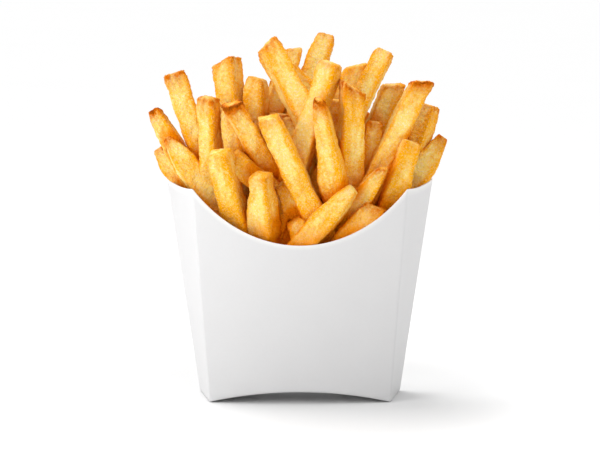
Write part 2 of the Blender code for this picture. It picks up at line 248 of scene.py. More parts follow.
# Each fry: tip x, y and z, y of the foot, lean to the right and roll in degrees, width, slant of the end
# cut in degrees, width left at the tip as a share, length of the taper, sideways bend, browning of the end
# and how golden it is
FRONT_ROW = (
    Fry(23.0, -18.5, 95.0, -14.0, 40.7, 14, 10.2, -8, 0.5, 14, 0.0, 0.25, -0.3),
    Fry(-16.7, -17.5, 101.2, -12.5, -4.0, 28, 12.2, 4, 0.62, 36, 0.0, 0.35, 0.15),
    Fry(-34.6, -12.5, 110.6, -11.0, -13.5, 20, 9.9, 0, 0.85, 4, 0.6, 0.2, 0.5),
    Fry(8.0, -8.0, 133.2, -4.5, -10.0, 12, 12.2, -25, 0.24, 35, 0.0, 1.3, 0.8),
    Fry(-13.6, -10.5, 125.6, -8.0, -25.5, 4, 10.3, -13, 0.85, 4, 0.0, 0.35, 0.15),
    Fry(33.3, -13.5, 86.5, -12.5, 40.0, 10, 10.8, 20, 0.75, 6, 0.0, 0.8, 0.6),
    Fry(48.4, -5.0, 114.0, -9.0, 21.5, -12, 9.9, 0, 0.75, 8, 0.0, 0.25, 0.2),
    Fry(-58.8, 7.0, 114.2, -12.0, -32.0, -14, 10.2, 0, 0.3, 15, 3.0, 1.0, -0.7),
    Fry(-2.6, -13.0, 80.3, -11.0, -30.0, 0, 10.8, 0, 0.70, 5, 0.0, 0.4, 0.6),
)
SECOND_ROW = (
    Fry(-8.6, -7.5, 96.3, -4.0, -30.0, 10, 10.2, 0, 0.5, 10, 0.0, 0.4, 0.5),
    Fry(-29.5, -5.0, 107.0, -5.0, -52.0, 0, 10.8, 0, 0.80, 5, 0.0, 0.3, 0.3),
    Fry(35.8, -8.0, 103.5, -12.0, 32.0, 0, 9.4, 35, 0.35, 20, 0.0, 0.8, 0.8),
    Fry(-29.4, -3.5, 131.0, -3.0, -28.0, -10, 8.9, -12, 0.92, 3, 0.0, 1.3, 0.3),
    Fry(13.5, -1.5, 148.2, -1.0, 17.5, 22, 9.8, 0, 0.80, 5, 0.0, 0.45, -0.5),
    Fry(22.2, -2.0, 138.2, -2.0, 0.0, -16, 10.2, -33, 0.92, 3, 0.0, 0.9, 0.75),
    Fry(53.2, 3.0, 139.6, -1.0, 26.0, -8, 9.1, 26, 0.92, 3, 0.0, 1.1, -0.6),
    Fry(-39.8, 3.0, 132.7, 0.0, -3.0, 25, 8.2, -12, 0.75, 5, 0.0, 0.8, -0.2),
)
THIRD_ROW = (
    Fry(-14.8, 4.5, 155.6, 2.5, -28.0, -18, 10.2, 20, 0.75, 5, 0.0, 0.6, -0.6),
    Fry(-29.8, 5.0, 128.5, 3.0, -5.0, 5, 9.0, 0, 0.80, 5, 0.0, 0.3, -0.3),
    Fry(32.5, 7.0, 122.0, 4.0, 5.0, 0, 8.4, 0, 0.80, 5, 0.0, 0.7, 0.9),
    Fry(16.0, 8.0, 131.5, 4.0, 3.0, 10, 8.6, 0, 0.80, 5, 0.0, 0.3, 0.4),
    Fry(37.3, 7.0, 152.6, 4.0, 27.0, 14, 8.8, 0, 0.68, 6, 0.0, 0.45, -0.85),
    Fry(63.9, 10.0, 113.2, 1.0, 34.0, 8, 10.0, 0, 0.4, 13, 0.0, 0.8, -0.4),
    Fry(-55.7, 12.0, 142.4, 6.0, -19.5, -8, 9.0, 0, 0.92, 3, 0.0, 0.9, -0.4),
    Fry(-32.4, 13.0, 147.4, 6.0, -6.0, 29, 10.4, 18, 0.88, 4, 0.0, 0.6, -0.2),
    Fry(-6.2, 14.0, 143.6, 8.0, -46.0, 0, 9.0, 0, 0.80, 5, 0.0, 0.4, 0.2),
    Fry(-63.2, 15.0, 108.2, 5.0, -33.0, 6, 8.3, 0, 0.5, 9, 0.0, 0.6, -0.5),
)
BACK_ROW = (
    Fry(25.2, 13.0, 146.0, 7.0, 27.0, 0, 9.4, 40, 0.80, 5, 0.0, 0.4, -0.2),
    Fry(41.5, 13.0, 137.6, 7.0, 24.0, -6, 9.2, 25, 0.92, 3, 0.0, 0.5, 0.05),
    Fry(58.2, 16.5, 127.6, 7.0, 19.0, 38, 7.5, 0, 0.80, 5, 0.0, 0.6, -0.35),
    Fry(-18.8, 16.0, 140.4, 9.0, 4.0, 20, 9.7, -12, 0.62, 5, 0.0, 0.3, -0.4),
    Fry(-10.2, 19.0, 138.9, 9.0, -8.0, 0, 9.0, 0, 0.80, 5, 0.0, 0.3, 0.3),
    Fry(-3.2, 19.0, 152.6, 9.0, 18.0, -10, 9.0, 28, 0.70, 5, 0.0, 0.4, -0.1),
    Fry(12.0, 17.5, 158.4, 9.0, 20.0, 10, 9.4, 4, 0.74, 5, 0.0, 0.55, -0.35),
    Fry(-65.4, 19.0, 125.6, 8.0, -31.0, 8, 8.8, 0, 0.4, 12, 0.0, 1.2, -0.5),
)


# User settings


class CartonSettings(bpy.types.PropertyGroup):
    """Sizes and finish of the carton."""

    fold_radius: FloatProperty(
        name="Fold radius", description="Roundness of the folds", default=0.0008, unit="LENGTH"
    )
    panel_steps: IntProperty(name="Panel steps", description="Columns across a panel", default=96)
    side_steps: IntProperty(name="Side steps", description="Columns across a side panel", default=16)
    rows: IntProperty(name="Rows", description="Rows up the walls", default=30)
    board_color: FloatVectorProperty(
        name="Board", description="Colour of the coated board", default=(0.625, 0.623, 0.629), subtype="COLOR"
    )
    edge_color: FloatVectorProperty(
        name="Cut edge", description="Colour of the cut edge", default=(0.84, 0.83, 0.81), subtype="COLOR"
    )


class FrySettings(bpy.types.PropertyGroup):
    """Shape and crust of the fries."""

    around: IntProperty(name="Points around", description="Points round a fry", default=56)
    corner: FloatProperty(
        name="Corner", description="Roundness of a fry's edges as a share of half its width", default=0.3
    )
    station: FloatProperty(
        name="Station", description="Spacing of the rings along a fry", default=0.0007, unit="LENGTH"
    )
    swell: FloatProperty(
        name="Swell", description="Depth of the slow unevenness", default=0.0011, unit="LENGTH"
    )
    blister: FloatProperty(
        name="Blister", description="Height of the small blisters", default=0.00045, unit="LENGTH"
    )
    pale: FloatVectorProperty(
        name="Pale", description="Lightest crust", default=(1.0, 0.73, 0.18), subtype="COLOR"
    )
    golden: FloatVectorProperty(
        name="Golden", description="Golden crust", default=(0.97, 0.43, 0.002), subtype="COLOR"
    )
    # Crumb: dry crumbs, and also painted glints
    crumb_and_glint: FloatVectorProperty(
        name="Crumb", description="Dry crumbs on the crust", default=(1.0, 0.81, 0.45), subtype="COLOR"
    )
    # Deep: painted shade where the fries stand close together
    deep: FloatVectorProperty(
        name="Deep", description="Oily crust where fries press together", default=(0.84, 0.25, 0.001),
        subtype="COLOR",
    )
    # Browned: the real browned ends and edges, and also the painted shade in the tightest gaps between fries
    browned: FloatVectorProperty(
        name="Browned", description="Browned ends and edges", default=(0.66, 0.15, 0.001), subtype="COLOR"
    )
    dark: FloatVectorProperty(
        name="Dark", description="Darkest specks", default=(0.16, 0.03, 0.004), subtype="COLOR"
    )


class StageSettings(bpy.types.PropertyGroup):
    """Floor, light and camera."""

    distance: FloatProperty(
        name="Distance", description="Camera distance", default=0.95, unit="LENGTH"
    )
    elevation: FloatProperty(
        name="Elevation", description="Camera height angle", default=math.radians(7.2), subtype="ANGLE"
    )
    lens: FloatProperty(name="Lens", description="Focal length in millimetres", default=130.0)
    aim_height: FloatProperty(
        name="Aim height", description="Height that the camera aims at", default=0.0765, unit="LENGTH"
    )
    sky: FloatProperty(name="Sky", description="Strength of the even light all round", default=0.515)
    top_light: FloatProperty(name="Top light", description="Strength of the light from above", default=2.1)
    key_light: FloatProperty(
        name="Key light", description="Power of the soft box in front on the left", default=0.87
    )
    near_light: FloatProperty(
        name="Near light", description="Power of the small box over the front", default=0.06
    )
    fill_light: FloatProperty(
        name="Fill light", description="Power of the soft box on the right", default=0.4
    )


# Node building


class Wire:
    """An output socket that Python expressions can do maths with."""

    def __init__(self, maker, socket):
        self.maker = maker
        self.socket = socket

    def __add__(self, other):
        return self.maker.math("ADD", self, other)

    __radd__ = __add__

    def __sub__(self, other):
        return self.maker.math("SUBTRACT", self, other)

    def __rsub__(self, other):
        return self.maker.math("SUBTRACT", other, self)

    def __mul__(self, other):
        return self.maker.math("MULTIPLY", self, other)

    __rmul__ = __mul__

    def __truediv__(self, other):
        return self.maker.math("DIVIDE", self, other)

    def __pow__(self, other):
        return self.maker.math("POWER", self, other)

    def __abs__(self):
        return self.maker.math("ABSOLUTE", self)

    def low(self, other):
        return self.maker.math("MINIMUM", self, other)

    def high(self, other):
        return self.maker.math("MAXIMUM", self, other)

    def clamped(self):
        return self.low(1.0).high(0.0)

    def step(self, start, end):
        """Rises smoothly from 0 at start to 1 at end."""
        values = {"Value": self, "From Min": start, "From Max": end}
        return self.maker.out("ShaderNodeMapRange", {"interpolation_type": "SMOOTHSTEP"}, values, "Result")


class Maker:
    """Adds nodes to one tree."""

    def __init__(self, tree):
        self.tree = tree

    def node(self, kind, settings=None, values=None):
        """Adds a node: first its settings, then its inputs."""
        made = self.tree.nodes.new(kind)
        for name, value in (settings or {}).items():
            setattr(made, name, value)
        self.fill(made, values or {})
        return made

    def fill(self, made, values):
        """Gives each named or numbered input of a node its value or its link."""
        for key, value in values.items():
            socket = made.inputs[key]
            if isinstance(value, Wire):
                self.tree.links.new(value.socket, socket)
            else:
                socket.default_value = value

    def out(self, kind, settings=None, values=None, output=0):
        return Wire(self, self.node(kind, settings, values).outputs[output])

    def math(self, operation, *values):
        return self.out("ShaderNodeMath", {"operation": operation}, dict(enumerate(values)))

    def vector(self, operation, *values):
        return self.out("ShaderNodeVectorMath", {"operation": operation}, dict(enumerate(values)))

    def dot(self, a, b):
        return self.out("ShaderNodeVectorMath", {"operation": "DOT_PRODUCT"}, {0: a, 1: b}, "Value")

    def scaled(self, vector, factor):
        return self.out("ShaderNodeVectorMath", {"operation": "SCALE"}, {0: vector, "Scale": factor})

    def blend(self, factor, a, b):
        """Mixes two colours."""
        return self.out("ShaderNodeMix", {"data_type": "RGBA"}, {0: factor, 6: a, 7: b}, 2)

    def noise(self, place, pattern, shift=None):
        """A pattern that swings about 0, with another part of it for each value of shift."""
        values = {"Vector": place, "Scale": pattern.scale, "Detail": pattern.detail}
        values["Roughness"] = pattern.roughness
        settings = None
        if shift is not None:
            settings = {"noise_dimensions": "4D"}
            values["W"] = shift
        return self.out("ShaderNodeTexNoise", settings, values, "Fac") - 0.5

    def bump(self, height, distance, strength=1.0):
        """The normal of a relief, from its height and its depth in metres."""
        values = {"Height": height, "Distance": distance, "Strength": strength}
        return self.out("ShaderNodeBump", None, values, "Normal")


def color4(values):
    return (values[0], values[1], values[2], 1.0)


def new_material(name):
    """A material, the maker of its tree and its shader node."""
    material = bpy.data.materials.new(name)
    material.use_nodes = True
    tree = material.node_tree
    return material, Maker(tree), tree.nodes["Principled BSDF"]


def attribute(maker, name, output="Fac"):
    return maker.out("ShaderNodeAttribute", {"attribute_name": name}, None, output)


def object_place(maker):
    return maker.out("ShaderNodeTexCoord", None, None, "Object")


# Objects


def linked(name, data):
    made = bpy.data.objects.new(name, data)
    bpy.context.collection.objects.link(made)
    return made


def mesh_object(name, mesh):
    """A smooth object made of the mesh, which is freed."""
    for face in mesh.faces:
        face.smooth = True
    data = bpy.data.meshes.new(name)
    mesh.to_mesh(data)
    mesh.free()
    return linked(name, data)


def evaluated(thing):
    """The mesh that an object's modifiers make of it."""
    graph = bpy.context.evaluated_depsgraph_get()
    return bpy.data.meshes.new_from_object(thing.evaluated_get(graph), depsgraph=graph)


# Shape of the carton

Section = namedtuple("Section", "front_half back_half front_y back_y front_bow")


def mix(a, b, t):
    return a + (b - a) * t


def section(z, inset=0.0):
    """Plan of the carton at height z, moved inwards by inset."""
    t = z / RIM_Z
    front_half = mix(FRONT_HALF_BOTTOM, FRONT_HALF_TOP, t)
    back_half = mix(BACK_HALF_BOTTOM, BACK_HALF_TOP, t)
    front_y = mix(FRONT_Y_BOTTOM, FRONT_Y_TOP, t)
    back_y = mix(BACK_Y_BOTTOM, BACK_Y_TOP, t)
    flare = (back_half - front_half) / (back_y - front_y)
    side = inset * np.sqrt(1 + flare * flare)
    return Section(
        front_half + inset * flare - side,
        back_half - inset * flare - side,
        front_y + inset,
        back_y - inset,
        mix(FRONT_BOW_BOTTOM, FRONT_BOW_TOP, t),
    )


def plan_point(u, v, z, inset=0.0):
    """Point of the carton's inside at height z: u runs from left to right, v from front to back."""
    s = section(z, inset)
    bulge = 1 - u * u
    x = mix(u * s.front_half, u * s.back_half, v)
    y = mix(s.front_y - s.front_bow * bulge, s.back_y + BACK_BOW * bulge, v)
    return Vector((x, y, z))


def floor_z(u):
    return ARCH_RISE * (1 - u * u)


def front_rim(x):
    """Height of the scooped edge in front."""
    radius = (FRONT_HALF_TOP**2 + SCOOP_DEPTH**2) / (2 * SCOOP_DEPTH)
    return RIM_Z - SCOOP_DEPTH + radius - np.sqrt(radius * radius - x * x)


def rim_z(u, v):
    """Height of the board's top edge at a place on the border of the plan."""
    if v == 0:
        return front_rim(u * FRONT_HALF_TOP)
    if v == 1:
        return RIM_Z + BACK_DOME * (1 - u * u)
    return RIM_Z - SIDE_DIP * 4 * v * (1 - v)


def design_shift():
    """From the sizes' own origin to the frame's: the carton's box is the same in both."""
    top = plan_point(0.0, 1.0, RIM_Z + BACK_DOME)
    return Vector(((CARTON_LOW[0] + CARTON_HIGH[0]) / 2, CARTON_HIGH[1] - top.y * MM, CARTON_LOW[2]))


SHIFT = design_shift()


def placed(point):
    """A point in millimetres of the design, in metres of the frame."""
    return Vector(point) * MM + SHIFT


class Cup:
    """Grid of the carton's walls and floor."""

    def __init__(self, mesh, panel_steps, side_steps, rows):
        self.mesh = mesh
        self.us = [float(u) for u in np.linspace(-1, 1, panel_steps + 1)]
        self.vs = [float(v) for v in np.linspace(0, 1, side_steps + 1)]
        self.rows = rows

    def border(self):
        """Places round the border of the plan, from the front left corner and anticlockwise from above."""
        front = [(u, 0.0) for u in self.us[:-1]]
        right = [(1.0, v) for v in self.vs[:-1]]
        back = [(u, 1.0) for u in self.us[:0:-1]]
        left = [(-1.0, v) for v in self.vs[:0:-1]]
        return front + right + back + left

    def join(self, low, high):
        made = []
        for i in range(len(low)):
            j = (i + 1) % len(low)
            made.append(self.mesh.faces.new((low[i], low[j], high[j], high[i])))
        return made

    def sheet(self, loop, place, upward):
        """Closes a border loop with a grid of the plan's inner places."""
        found = dict(zip(self.border(), loop))
        for u in self.us:
            for v in self.vs:
                if (u, v) not in found:
                    found[u, v] = self.mesh.verts.new(placed(place(u, v)))
        for u0, u1 in zip(self.us, self.us[1:]):
            for v0, v1 in zip(self.vs, self.vs[1:]):
                corners = [found[u0, v0], found[u1, v0], found[u1, v1], found[u0, v1]]
                self.mesh.faces.new(corners if upward else corners[::-1])

    def walls(self, inset, lift, top):
        """Walls and arched floor, moved inwards by inset and up by lift. Returns the loops, lowest first."""
        loops = []
        for row in range(self.rows + 1):
            loop = []
            for u, v in self.border():
                z = mix(floor_z(u) + lift, top(u, v), row / self.rows)
                loop.append(self.mesh.verts.new(placed(plan_point(u, v, z, inset))))
            loops.append(loop)
        for low, high in zip(loops, loops[1:]):
            self.join(low, high)
        self.sheet(loops[0], lambda u, v: plan_point(u, v, floor_z(u) + lift, inset), False)
        return loops


# Layout of the fries


def wall_room(x, y, z):
    """How far a point is inside the front, back and side walls at height z."""
    s = section(z)
    front = y - s.front_y + s.front_bow * max(0.0, 1 - (x / s.front_half) ** 2)
    back = s.back_y + BACK_BOW * max(0.0, 1 - (x / s.back_half) ** 2) - y
    flare = (s.back_half - s.front_half) / (s.back_y - s.front_y)
    side = (s.front_half + (y - s.front_y) * flare - abs(x)) / math.sqrt(1 + flare * flare)
    return front, back, side


def low_line(x):
    """Height that the hidden fries stay below, so that the uneven outline of the heap is kept."""
    return LOW_LINE_TOP - LOW_LINE_FALL * x * x


def hidden_fries(rng):
    """Fries behind the ones that show, in rows by rule."""
    rows = []
    for row, back in enumerate(BACK_ROW_Y):
        x = -BACK_ROW_HALF + row * BACK_ROW_PITCH / 2
        while x <= BACK_ROW_HALF:
            tip = x + rng.uniform(-STRAY_X, STRAY_X)
            height = low_line(tip) - rng.uniform(*BELOW_LINE) - BACK_ROW_DROP * row
            lean = BACK_ROW_LEAN * tip + rng.uniform(-STRAY_LEAN, STRAY_LEAN)
            width = rng.uniform(*HIDDEN_WIDTH)
            roll = rng.uniform(-STRAY_ROLL, STRAY_ROLL)
            cut = rng.uniform(-STRAY_CUT, STRAY_CUT)
            blunt = rng.uniform(*HIDDEN_BLUNT)
            foot = back * BACK_ROW_FOOT
            end = (HIDDEN_TAPER, 0.0, HIDDEN_BROWN, HIDDEN_TONE)
            rows.append(Fry(tip, back, height, foot, lean, roll, width, cut, blunt, *end))
            x += BACK_ROW_PITCH
    return rows


def tip_and_foot(fry):
    """Ends of a fry's middle line. The foot is sunk in the core, and no fry is longer than the longest."""
    rise = fry.z - FOOT_Z
    slope = math.tan(math.radians(fry.lean))
    run = rise * slope
    depth = fry.y - fry.foot_y
    share = min(1.0, LONGEST_FRY / math.sqrt(rise * rise + run * run + depth * depth))
    tip = Vector((fry.x, fry.y, fry.z))
    foot = Vector((fry.x - run * share, fry.y - depth * share, fry.z - rise * share))
    return tip, foot


def closest_shares(a0, a1, b0, b1):
    """Shares along two segments at which they come closest."""
    da = a1 - a0
    db = b1 - b0
    between = a0 - b0
    aa = da.dot(da)
    bb = db.dot(db)
    ab = da.dot(db)
    ac = da.dot(between)
    bc = db.dot(between)
    spread = aa * bb - ab * ab
    s = 0.0 if spread < PARALLEL else min(1.0, max(0.0, (ab * bc - ac * bb) / spread))
    t = min(1.0, max(0.0, (ab * s + bc) / bb))
    s = min(1.0, max(0.0, (ab * t - ac) / aa))
    return s, t


def upper_end(tip, foot):
    """Lower end of the stretch of a fry that shows."""
    line = foot - tip
    return tip + line.normalized() * min(SETTLE_LENGTH, line.length)


def part_two(one, other, reach, nearer):
    """Moves two fries apart in depth where their middle lines pass closer than reach."""
    (tip_a, foot_a), (tip_b, foot_b) = one, other
    low_a = upper_end(tip_a, foot_a)
    low_b = upper_end(tip_b, foot_b)
    s, t = closest_shares(tip_a, low_a, tip_b, low_b)
    between = tip_a.lerp(low_a, s) - tip_b.lerp(low_b, t)
    flat = between.x * between.x + between.z * between.z
    if flat >= reach * reach:
        return
    short = math.sqrt(reach * reach - flat) - abs(between.y)
    if short <= 0:
        return
    side = between.y if abs(between.y) > SAME_DEPTH else nearer
    push = math.copysign(SETTLE_PUSH * short, side)
    tip_a.y += push * (TIP_SHARE - s)
    foot_a.y += push * s * FOOT_SHARE
    tip_b.y -= push * (TIP_SHARE - t)
    foot_b.y -= push * t * FOOT_SHARE


def settle(ends, widths):
    """Lets the fries find room: crossing ones move apart in depth, and all stay within the walls."""
    depths = [tip.y for tip, _ in ends]
    for _ in range(SETTLE_ROUNDS):
        for i, one in enumerate(ends):
            for j in range(i + 1, len(ends)):
                reach = SETTLE_SHARE * (widths[i] + widths[j]) / 2
                part_two(one, ends[j], reach, depths[i] - depths[j])
        for (tip, foot), width in zip(ends, widths):
            keep_inside(tip, foot, width)


def keep_inside(tip, foot, width):
    """Moves a fry in depth until it clears the walls. Above their top edge it may lean out a little."""
    half = width / 2 + BOARD + GAP
    for share in INSIDE_SHARES:
        p = tip.lerp(foot, share)
        u = max(-1.0, min(1.0, p.x / FRONT_HALF_TOP))
        w = max(-1.0, min(1.0, p.x / BACK_HALF_TOP))
        front, back, side = wall_room(p.x, p.y, p.z)
        front -= half if p.z < rim_z(u, 0) + RIM_CLEAR else half - LEAN_OUT
        back -= half if p.z < rim_z(w, 1) + RIM_CLEAR else half - LEAN_OUT
        move = 0.0
        if front < 0:
            move = -front
        elif back < 0:
            move = back
        elif p.z < RIM_Z + RIM_CLEAR and side < half:
            move = SIDE_PUSH * (half - side)
        tip.y += move * (1 - share)
        foot.y += move * share


def laid_out():
    """Every fry with its settled ends, by row."""
    rng = random.Random(SEED)
    rows = [FRONT_ROW, SECOND_ROW, THIRD_ROW, BACK_ROW, hidden_fries(rng)]
    flat = [fry for row in rows for fry in row]
    ends = [tip_and_foot(fry) for fry in flat]
    settle(ends, [fry.width for fry in flat])
    left = list(zip(flat, ends))
    return [[left.pop(0) for _ in row] for row in rows]


# Guide lines and their sweep


def end_stations():
    """Distance from the end and share of the width, from the middle of the cut out to the side."""
    made = []
    for i in range(END_STEPS):
        angle = math.radians(mix(*END_ANGLES, i / (END_STEPS - 1)))
        made.append((END_DEPTH * (1 - math.cos(angle) ** END_POWER), math.sin(angle) ** END_POWER))
    return made


def stations(length, hidden, spacing):
    """Distances along a fry from its foot, each with its share of the width. The hidden stretch has few."""
    ends = end_stations()
    low = max(hidden, END_DEPTH)
    high = length - END_DEPTH
    few = max(1, round((low - END_DEPTH) / COARSE))
    many = max(LEAST_RINGS, round((high - low) / spacing))
    middle = [mix(END_DEPTH, low, i / few) for i in range(1, few)]
    middle += [mix(low, high, i / many) for i in range(many)]
    finish = [(length - depth, share) for depth, share in ends[::-1]]
    return ends[:-1] + [(place, 1.0) for place in middle] + finish


def clear_foot(tip, foot, half):
    """The foot, drawn up to where the fry's middle line is well inside the walls."""
    last = tip
    for i in range(FOOT_CHECKS + 1):
        p = tip.lerp(foot, i / FOOT_CHECKS)
        if p.z < RIM_Z and min(wall_room(p.x, p.y, p.z)) < FOOT_ROOM * half:
            u = max(-1.0, min(1.0, p.x / FRONT_HALF_TOP))
            if p.z < rim_z(u, 0) or min(wall_room(p.x, p.y, p.z)[1:]) < FOOT_ROOM * half:
                return last
        last = p
    return foot


def browning(left, share, half):
    """1 at the rim of the cut end, fading down the side and towards the middle of the cut."""
    if left <= END_DEPTH:
        return math.exp(-((1 - share) * half) / CAP_REACH)
    return math.exp(-(left - END_DEPTH) / RIM_REACH)


def add_guide(mesh, layers, fry, tip, foot, own, rng, spacing):
    """Adds one fry's middle line with what the sweep needs at each of its points."""
    foot = clear_foot(tip, foot, fry.width / 2)
    length = (tip - foot).length
    along = (tip - foot).normalized()
    hidden = max(0.0, (HIDDEN_BELOW - foot.z) / max(along.z, LEAST_RISE))
    across = Vector((0, 1, 0)).cross(along).normalized()
    away = along.cross(across)
    roll = math.radians(fry.roll)
    side = across * math.cos(roll) - away * math.sin(roll)
    face = -away * math.cos(roll) - across * math.sin(roll)
    bend = fry.bend + rng.uniform(-BEND_SPREAD, BEND_SPREAD)
    thick = rng.uniform(*THICKNESS)
    phases = [rng.uniform(0, 2 * math.pi) for _ in GIRTH_WAVES]
    luck = rng.uniform(0, 1)
    slant = math.tan(math.radians(fry.cut))
    last = None
    for place, share in stations(length, min(hidden, length / 2), spacing):
        t = place / length
        left = length - place
        size = mix(fry.blunt, 1.0, min(1.0, left / fry.taper) ** TAPER_CURVE)
        for (depth, waves), phase in zip(GIRTH_WAVES, phases):
            size += depth * math.sin(2 * math.pi * waves * t + phase)
        middle = foot.lerp(tip, t) + across * bend * math.sin(math.pi * t)
        vert = mesh.verts.new(placed(middle))
        vert[layers["girth"]] = fry.width / 2 * size * share * MM
        vert[layers["thick"]] = thick
        vert[layers["slant"]] = slant * max(0.0, 1 - left / CUT_FADE)
        vert[layers["rim"]] = fry.brown * browning(left, share, fry.width / 2)
        vert[layers["tone"]] = fry.tone
        vert[layers["luck"]] = luck
        vert[layers["own"]] = own
        vert[layers["facing"]] = face
        vert[layers["across"]] = side
        vert[layers["axis"]] = along
        vert[layers["middle"]] = placed(middle)
        if last is not None:
            mesh.edges.new((last, vert))
        last = vert


def guide_object(name, fries, first, rng, spacing):
    """The middle lines of a row of fries."""
    mesh = bmesh.new()
    layers = {key: mesh.verts.layers.float.new(key) for key in FLOAT_LAYERS}
    layers |= {key: mesh.verts.layers.float_vector.new(key) for key in VECTOR_LAYERS}
    for i, (fry, (tip, foot)) in enumerate(fries):
        add_guide(mesh, layers, fry, tip, foot, first + i, rng, spacing)
    return mesh_object(name, mesh)


def named(maker, name, kind="FLOAT"):
    return maker.out("GeometryNodeInputNamedAttribute", {"data_type": kind}, {"Name": name}, "Attribute")


def stored(maker, body, name, value, kind="FLOAT"):
    settings = {"data_type": kind, "domain": "POINT"}
    return maker.out("GeometryNodeStoreNamedAttribute", settings, {0: body, "Name": name, "Value": value})


def shifted(maker, body, offset):
    return maker.out("GeometryNodeSetPosition", None, {0: body, "Offset": offset})


def sweep_tree(material):
    """Sweeps a rounded square along the guide lines and makes it as uneven as fried potato."""
    tree = bpy.data.node_groups.new("Fry sweep", "GeometryNodeTree")
    maker = Maker(tree)
    inputs = {}
    for name, kind in SWEEP_INPUTS:
        socket = tree.interface.new_socket(name, in_out="INPUT", socket_type="NodeSocket" + kind)
        inputs[name] = socket.identifier
    tree.interface.new_socket("Fries", in_out="OUTPUT", socket_type="NodeSocketGeometry")
    start = maker.node("NodeGroupInput")
    given = {name: Wire(maker, start.outputs[name]) for name in inputs}

    lines = maker.out("GeometryNodeMeshToCurve", None, {0: given["Guides"]})
    facing = named(maker, "facing", "FLOAT_VECTOR")
    lines = maker.out("GeometryNodeSetCurveNormal", {"mode": "FREE"}, {"Curve": lines, "Normal": facing})
    square = maker.out("GeometryNodeCurvePrimitiveQuadrilateral", None, {"Width": 2.0, "Height": 2.0})
    values = {"Curve": square, "Count": CORNER_POINTS, "Radius": given["Corner"]}
    square = maker.out("GeometryNodeFilletCurve", {"mode": "POLY"}, values)
    values = {"Curve": square, "Count": given["Points around"]}
    square = maker.out("GeometryNodeResampleCurve", {"mode": "COUNT"}, values)
    values = {"Curve": lines, "Profile Curve": square, "Scale": named(maker, "girth")}
    body = maker.out("GeometryNodeCurveToMesh", None, values)

    across = named(maker, "across", "FLOAT_VECTOR")
    axis = named(maker, "axis", "FLOAT_VECTOR")
    middle = named(maker, "middle", "FLOAT_VECTOR")
    place = maker.out("GeometryNodeInputPosition")
    offset = maker.vector("SUBTRACT", place, middle)
    right = maker.dot(offset, across)
    front = maker.dot(offset, facing)
    big = abs(right).high(abs(front))
    corner = abs(right).low(abs(front)) / big.high(TINY)
    girth = named(maker, "girth")
    luck = named(maker, "luck")
    body = stored(maker, body, "corner", corner)
    body = stored(maker, body, "right", right / girth.high(TINY))
    along = maker.dot(place, axis) * GRAIN_STRETCH + luck * GRAIN_SHIFT
    local = maker.out("ShaderNodeCombineXYZ", None, {"X": right, "Y": front, "Z": along})
    body = stored(maker, body, "local", local, "FLOAT_VECTOR")
    flatter = maker.scaled(facing, front * (named(maker, "thick") - 1.0))
    slanted = maker.scaled(axis, right * named(maker, "slant"))
    body = shifted(maker, body, maker.vector("ADD", flatter, slanted))

    part = luck * RELIEF_SHIFT
    outward = maker.vector("NORMALIZE", maker.vector("SUBTRACT", place, middle))
    waist = (corner * CORNER_LIFT - FACE_SINK) * WAIST
    reach = (girth / FULL_GIRTH).clamped()
    swell = (maker.noise(place, SLOW, part) * SLOW_SHARE + waist) * given["Swell"] * reach
    body = shifted(maker, body, maker.scaled(outward, swell))

    normal = maker.out("GeometryNodeInputNormal")
    relief = maker.noise(place, LUMPS, part) * LUMPS_SHARE + maker.noise(place, FINE, part) * FINE_SHARE
    ragged = 1.0 + named(maker, "rim") * RIM_RAGGED
    rough = relief * given["Blister"] * ragged * reach
    body = shifted(maker, body, maker.scaled(normal, rough))

    body = maker.out("GeometryNodeSetShadeSmooth", None, {0: body})
    body = maker.out("GeometryNodeRealizeInstances", None, {0: body})
    body = maker.out("GeometryNodeSetMaterial", None, {0: body, "Material": material})
    end = maker.node("NodeGroupOutput")
    tree.links.new(body.socket, end.inputs[0])
    return tree, inputs


def press_inside(mesh):
    """Presses what would cross the board inwards. Above the top edge a fry may lean over it."""
    points = np.array([vert.co for vert in mesh.verts])
    x, y, z = ((points - np.array(SHIFT)) / MM).T
    s = section(z)
    clear = BOARD + WALL_CLEAR
    u = np.clip(x / FRONT_HALF_TOP, -1, 1)
    w = np.clip(x / BACK_HALF_TOP, -1, 1)
    back_rim = RIM_Z + BACK_DOME * (1 - w * w)
    front = s.front_y - s.front_bow * np.clip(1 - (x / s.front_half) ** 2, 0, 1) + clear
    back = s.back_y + BACK_BOW * np.clip(1 - (x / s.back_half) ** 2, 0, 1) - clear
    y = np.maximum(y, front - np.maximum(z - front_rim(u * FRONT_HALF_TOP), 0))
    y = np.minimum(y, back + np.maximum(z - back_rim, 0))
    flare = (s.back_half - s.front_half) / (s.back_y - s.front_y)
    side = s.front_half + (y - s.front_y) * flare - clear * np.sqrt(1 + flare * flare)
    side = side + np.maximum(z - RIM_Z + SIDE_DIP, 0)
    x = np.clip(x, -side, side)
    moved = np.stack([x, y, z], 1) * MM + np.array(SHIFT)
    for vert, point in zip(mesh.verts, moved):
        vert.co = point


